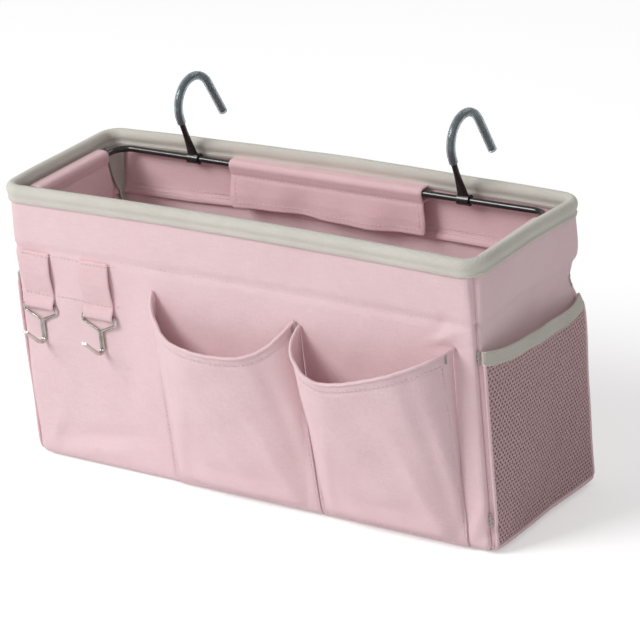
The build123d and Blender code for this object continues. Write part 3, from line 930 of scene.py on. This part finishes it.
# Soft folds of the pocket cloth: share across, share up, half widths of both, slant, rise in millimetres.
POCKET_FOLDS = [
    (0.07, 0.55, 0.035, 0.5, 0.10, -2.2),
    (0.14, 0.30, 0.05, 0.35, 0.25, 1.4),
    (0.90, 0.50, 0.045, 0.5, -0.12, -2.6),
    (0.80, 0.28, 0.05, 0.3, -0.3, 1.6),
    (0.45, 0.16, 0.30, 0.05, 0.0, -1.2),
    (0.30, 0.72, 0.12, 0.2, 0.2, 0.9),
    (0.62, 0.60, 0.10, 0.25, -0.2, -1.0),
    (0.96, 0.08, 0.05, 0.06, 0.4, -2.0),
    (0.04, 0.08, 0.05, 0.06, -0.4, -2.0),
]


def wall_y(x, z):
    return box_point(np.asarray(x, float), z)[..., 1]


def pocket_point(shape, u, v):
    """Cloth of a pocket: u from its left seam to its right one, v from its foot to its mouth."""
    u, v = np.broadcast_arrays(np.asarray(u, float), np.asarray(v, float))
    swell = 2 * np.clip(u, 0, 1) ** shape["skew"][0] - 1
    hang = 2 * np.clip(u, 0, 1) ** shape["skew"][1] - 1
    arch = np.clip(1 - np.abs(swell) ** shape["arch"][0], 0, 1) ** (1 / shape["arch"][1])
    left = shape["foot"][0] + (shape["mouth"][0] - shape["foot"][0]) * v
    right = shape["foot"][1] + (shape["mouth"][1] - shape["foot"][1]) * v
    x = left + (right - left) * u
    rim = shape["top"][0] + (shape["top"][1] - shape["top"][0]) * u
    z = POCKET_FOOT + (rim - POCKET_FOOT) * v - shape["sag"] * (1 - np.abs(hang) ** shape["dip"]) * v ** 1.5
    depth = (POCKET_HEEL + (shape["reach"] - POCKET_HEEL) * v) * smooth(v, -0.01, 0.07)
    fold = np.zeros_like(u)
    for across, up, width, height, slant, rise in POCKET_FOLDS:
        lean = u - across - slant * (v - up)
        fold += rise * np.exp(-(lean / width) ** 2 - ((v - up) / height) ** 2)
    fold += 0.35 * np.sin(u * 23 + v * 9) + 0.3 * np.sin(u * 9 - v * 17 + 1.0)
    hem = -0.5 * hill(v, 0.945, 0.008)
    out = (fold * arch ** 0.5 + hem) * smooth(v, 0, 0.1)
    y = np.minimum(wall_y(x, z) - 1.3, FRONT + 1.0 - depth * arch - out)
    return np.stack([x, y, z], -1)


def make_pocket(side):
    shape = POCKETS[side]
    u = np.concatenate([[0, 0.006, 0.014], np.linspace(0.026, 0.974, 62), [0.986, 0.994, 1]])
    foot, hem = [0, 0.012, 0.026, 0.042, 0.06], [0.936, 0.945, 0.954, 0.975, 1]
    v = np.concatenate([foot, np.linspace(0.08, 0.92, 46), hem])
    uu, vv = np.meshgrid(u, v)
    points = pocket_point(shape, uu, vv)
    across = run_lengths(points[-1])
    up = run_lengths(points[:, len(u) // 2])
    uv = np.stack(np.meshgrid(across, up), -1)
    sheet_piece(f"{side}_pocket_cloth", points, uv, 1.1, "canvas", replaces=[f"front_pocket_{side}"])
    outward = grid_normals(points, False)
    mouth = resample(points[-1], np.arange(0, across[-1], 1.5))
    lift = resample(outward[-1], np.linspace(0, run_lengths(outward[-1])[-1], len(mouth)))
    bead = mouth + np.array([0, 0.55, 0.25])
    bead[:, 2] += 0.12 * np.sin(np.arange(len(bead)) * 0.8)
    bead_points, faces, bead_uv = tube_data(bead, unit(lift + 1e-6), 2.5, 2.6, 10)
    make_piece(f"{side}_pocket_rolled_edge", bead_points, faces, "canvas", uv=bead_uv,
               replaces=[f"pocket_edge_{side}"])
    runs = []
    row = int(np.argmin(np.abs(v - 0.95)))
    runs.append((points[row, 2:-2], outward[row, 2:-2]))
    runs.append((points[2, 2:-2], outward[2, 2:-2]))
    for column in (2, len(u) - 3):
        runs.append((points[3:row, column], np.tile([0, -1.0, 0], (row - 3, 1))))
    stitches(f"{side}_pocket_stitching", runs)
    tacks = []
    for column in (1, len(u) - 2):
        top = points[-1, column] + np.array([0, -0.6, 0.4])
        run = top + np.outer(np.linspace(0, 7.0, 10), (0, 0, -1.0))
        tacks.append((run, np.tile([0, -1.0, 0], (10, 1))))
    stitches(f"{side}_pocket_bartacks", tacks, pitch=0.8, length=1.1, width=2.6, height=0.8,
             material="grey_thread")


# ---------------------------------------------------------------- net pockets on the ends

NET_PITCH = 3.0
NET_THICK = 0.8
NET_FOOT = 4.0


def net_surface(s, z, middle, half, lift=0.0):
    """Cloth of an end pocket standing off the end wall, over the wall's hollow."""
    across = np.clip(1 - (along_gap(s, middle) / half) ** 2, 0, 1)
    hollow = 4.0 * np.clip(1 - (along_gap(s, middle) / 60) ** 2, 0, 1) ** 0.5 * hill(z, 142, 17)
    stand = (1.5 + 5.0 * smooth(z, 0, 130)) * across ** 0.7
    return box_point(s, z, -(1.1 + stand + hollow + lift))


def net_top(s, low, high):
    share = np.clip((s - low) / (high - low), 0, 1)
    return np.interp(share, [0, 0.5, 1], [136.0, 128.0, 132.0]) - 1.2 * np.sin(share * math.pi * 3)


def make_net(side, wall):
    low, high = WALLS[wall]
    low, high = low + 2.0, high - 2.0
    middle, half = (low + high) / 2, (high - low) / 2
    tall = NET_PITCH * math.sqrt(3) / 2
    corner_at = np.radians([30, 90, 150, 210, 270, 330])
    hexagon = np.stack([np.cos(corner_at), np.sin(corner_at)], 1) * NET_PITCH / math.sqrt(3)
    hole = hexagon * 0.62
    flat, faces, known = [], [], {}

    def corner(place):
        key = (round(place[0], 2), round(place[1], 2))
        if key not in known:
            known[key] = len(flat)
            flat.append(place)
        return known[key]

    row, z = 0, NET_FOOT + 1.0
    rings = []
    while z < 138:
        s = low + NET_PITCH * (0.7 + 0.5 * (row % 2))
        while s < high - NET_PITCH * 0.6:
            if z < net_top(s, low, high) - 0.5:
                centre = np.array([s, z])
                outer = [corner(tuple(centre + h)) for h in hexagon]
                inner = list(range(len(flat), len(flat) + 6))
                flat.extend([tuple(centre + h) for h in hole])
                rings.append(inner)
                for k in range(6):
                    n = (k + 1) % 6
                    faces.append((outer[k], outer[n], inner[n], inner[k]))
            s += NET_PITCH
        row += 1
        z += tall
    flat = np.array(flat)
    front = net_surface(flat[:, 0], flat[:, 1], middle, half)
    back = net_surface(flat[:, 0], flat[:, 1], middle, half, -NET_THICK)
    count = len(flat)
    edges = {}
    for face in faces:
        for k in range(4):
            a, b = face[k], face[(k + 1) % 4]
            edges[(a, b)] = edges.get((a, b), 0) + 1
    walls = [(a + count, b + count, b, a)[::-1] for a, b in edges if (b, a) not in edges]
    every = [tuple(f) for f in faces] + [tuple(i + count for i in f[::-1]) for f in faces]
    every += [tuple(reversed(w)) for w in walls]
    uv = np.concatenate([flat, flat])
    make_piece(f"{side}_net", np.concatenate([front, back]), every, "net", uv=uv,
               replaces=[f"net_pocket_{side}"])
    s = np.arange(low, high, 2.0)
    rows = np.array([-4.2, -3.4, -2, 0, 2, 3.4, 4.2])
    ss, up = np.meshgrid(s, rows)
    z = net_top(ss, low, high) + up
    points = net_surface(ss, z, middle, half, 0.8 - 0.25 * hill(np.abs(up), 3.0, 0.8))
    sheet_piece(f"{side}_net_binding", points, np.stack([ss, up], -1), 2.0, "net_trim",
                replaces=[f"net_edge_{side}"])
    outward = grid_normals(points, False)
    rows = [(points[k], outward[k]) for k in (1, 5)]
    stitches(f"{side}_net_stitching", rows, width=0.6, height=0.45)
    walk = np.arange(low, high, 2.0)
    foot = net_surface(walk, np.full_like(walk, NET_FOOT), middle, half, 0.2)
    piping = tube_data(foot, box_normal(walk, np.full_like(walk, NET_FOOT)), 3.0, 3.0, 10)
    make_piece(f"{side}_net_foot_piping", *piping[:2], "canvas", uv=piping[2])
    sides = []
    for place in (low + 0.8, high - 0.8):
        heights = np.arange(NET_FOOT, net_top(place, low, high), 3.0)
        at = np.full_like(heights, place)
        line = net_surface(at, heights, middle, half, 0.1)
        sides.append(tube_data(line, box_normal(at, heights), 2.6, 2.2, 8))
    points, faces, uv = join_parts(sides)
    make_piece(f"{side}_net_side_piping", points, faces, "canvas", uv=uv)


# ---------------------------------------------------------------- webbing loops

LOOP_HALF = 12.0
# Outer face of the loop: distance out from the front of the box, and height.
LOOP_PATH = [(1.2, 156.6), (1.9, 155.3), (2.7, 151), (3.7, 141), (3.1, 133), (2.2, 128), (2.0, 126), (2.7, 123.6),
             (4.3, 121.2), (5.0, 118.4), (4.5, 116.4), (3.0, 115.4), (1.6, 115.8)]


def make_loop(side):
    low, high = span(f"webbing_loop_{side}")
    centre = (low[0] + high[0]) / 2
    path = smooth_path([(n, 0, h) for n, h in LOOP_PATH], 40)
    x = centre - np.linspace(-LOOP_HALF, LOOP_HALF, 21)
    xx = np.broadcast_to(x, (len(path), len(x)))
    skew = 0.5 * np.sin(path[:, 2:] / 9.0)
    crown = 0.35 * (1 - ((x - centre) / LOOP_HALF) ** 2) * hill(path[:, 2:], 141, 9)
    points = np.stack([xx + skew, FRONT - path[:, :1] - crown, path[:, 2:] + 0 * xx], -1)
    run = run_lengths(path)
    uv = np.stack([xx - centre, np.repeat(run[:, None], len(x), 1)], -1)
    sheet_piece(f"{side}_loop_webbing", points, uv, 1.2, "webbing", replaces=[f"webbing_loop_{side}"])
    return centre


def make_loop_seams(centres):
    runs = []
    for height, out in ((155.0, 2.1), (126.6, 2.3)):
        x = np.arange(min(centres) - 14.5, max(centres) + 18.0, 1.0)
        on_tab = np.max([smooth(LOOP_HALF + 0.8 - np.abs(x - c), 0, 1.6) for c in centres], 0)
        wall = wall_y(x, np.full_like(x, height)) - 0.15
        y = wall + (FRONT - out - wall) * on_tab
        path = np.stack([x, y, np.full_like(x, height) + 0.25 * np.sin(x / 6)], 1)
        runs.append((path, np.tile([0, -1.0, 0], (len(x), 1))))
    stitches("loop_stitching", runs, width=0.8, height=0.7)


def make_band_stitching():
    """Row of stitches that holds the turned-in band, seen outside."""
    s = np.arange(0, PLAN_LENGTH, 2.0)
    s = s[(np.abs(along_gap(s, -139.5)) > 46)]
    breaks = np.where(np.diff(s) > 3)[0]
    runs = []
    for piece in np.split(s, breaks + 1):
        z = np.full_like(piece, BAND_LINE)
        runs.append((box_point(piece, z, -0.1), box_normal(piece, z)))
    stitches("band_stitching", runs)
    knots = []
    for place, height in ((SEAMS[0], 132.0), (SEAMS[0], 20.0), (SEAMS[1], 140.0)):
        z = np.linspace(height, height + 9, 12)
        at = place + 0.5 * np.sin(z * 2.1)
        knots.append((box_point(at, z, -0.2), box_normal(at, z)))
    stitches("seam_thread_knots", knots, pitch=0.9, length=2.2, width=1.5, height=0.9,
             material="grey_thread")


for sleeve_side in SLEEVE_SIDES:
    cloth, cut_drop, cut_width = make_sleeve(sleeve_side)
for pocket_side in POCKETS:
    make_pocket(pocket_side)
make_net("right", "right_end")
make_net("left", "left_end")
make_loop_seams([make_loop(loop_side) for loop_side in ("left", "right")])
make_band_stitching()


# ---------------------------------------------------------------- hard pieces kept from the CAD

def dress(node, material):
    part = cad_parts[node]
    part.data.materials.clear()
    part.data.materials.append(MATERIALS[material])


dress("wire_frame", "black_wire")
dress("base_board", "board")
for hook_side in ("left", "right"):
    dress(f"rail_hook_{hook_side}", "black_wire")
    dress(f"hook_tube_{hook_side}", "clear_tube")
    dress(f"small_hook_{hook_side}", "nickel_wire")


# ---------------------------------------------------------------- floor and light

ROOM_LIGHT = 0.35            # strength of the even light from all round
FLOOR_GLOW = 0.35            # what the camera alone sees added to the floor
KEY_POWER = 48.0
FILL_POWER = 2.5
BACK_POWER = 5.0


def make_floor():
    mesh = bpy.data.meshes.new("floor")
    reach = 6.0
    mesh.from_pydata([(-reach, -reach, 0), (reach, -reach, 0), (reach, reach, 0), (-reach, reach, 0)], [],
                     [(0, 1, 2, 3)])
    floor = bpy.data.objects.new("floor", mesh)
    floor.location.z = -0.0005
    bpy.context.scene.collection.objects.link(floor)
    material, nodes, shader, at = start_material("pale_floor", Roughness=0.9, Specular_IOR_Level=0.1)
    tone = nodes.noise(at.outputs["Object"], 3.0, 2.0)
    nodes.link(nodes.mix(tone, (0.93, 0.93, 0.93, 1), (0.95, 0.95, 0.95, 1)), shader.inputs["Base Color"])
    path = nodes.add("ShaderNodeLightPath")
    shader.inputs["Emission Color"].default_value = (1, 1, 1, 1)
    glow = nodes.math("MULTIPLY", path.outputs["Is Camera Ray"], FLOOR_GLOW)
    nodes.link(glow, shader.inputs["Emission Strength"])
    mesh.materials.append(material)


def make_light(name, place, size, power):
    data = bpy.data.lights.new(name, "AREA")
    data.size = size
    data.energy = power
    lamp = bpy.data.objects.new(name, data)
    lamp.location = place
    aim = Vector((0, 0, 0.1)) - Vector(place)
    lamp.rotation_euler = aim.to_track_quat("-Z", "Y").to_euler()
    bpy.context.scene.collection.objects.link(lamp)


def make_world():
    world = bpy.data.worlds.new("studio")
    world.use_nodes = True
    nodes = Nodes(world.node_tree)
    plain = world.node_tree.nodes["Background"]
    plain.inputs["Color"].default_value = (1, 1, 1, 1)
    plain.inputs["Strength"].default_value = ROOM_LIGHT
    bpy.context.scene.world = world


make_floor()
make_light("key", (-1.3, -1.7, 1.9), 1.3, KEY_POWER)
make_light("fill", (1.9, -1.2, 1.2), 1.6, FILL_POWER)
make_light("back_rim", (0.4, 1.8, 1.6), 1.2, BACK_POWER)
make_world()
bpy.context.scene.view_settings.view_transform = "Standard"
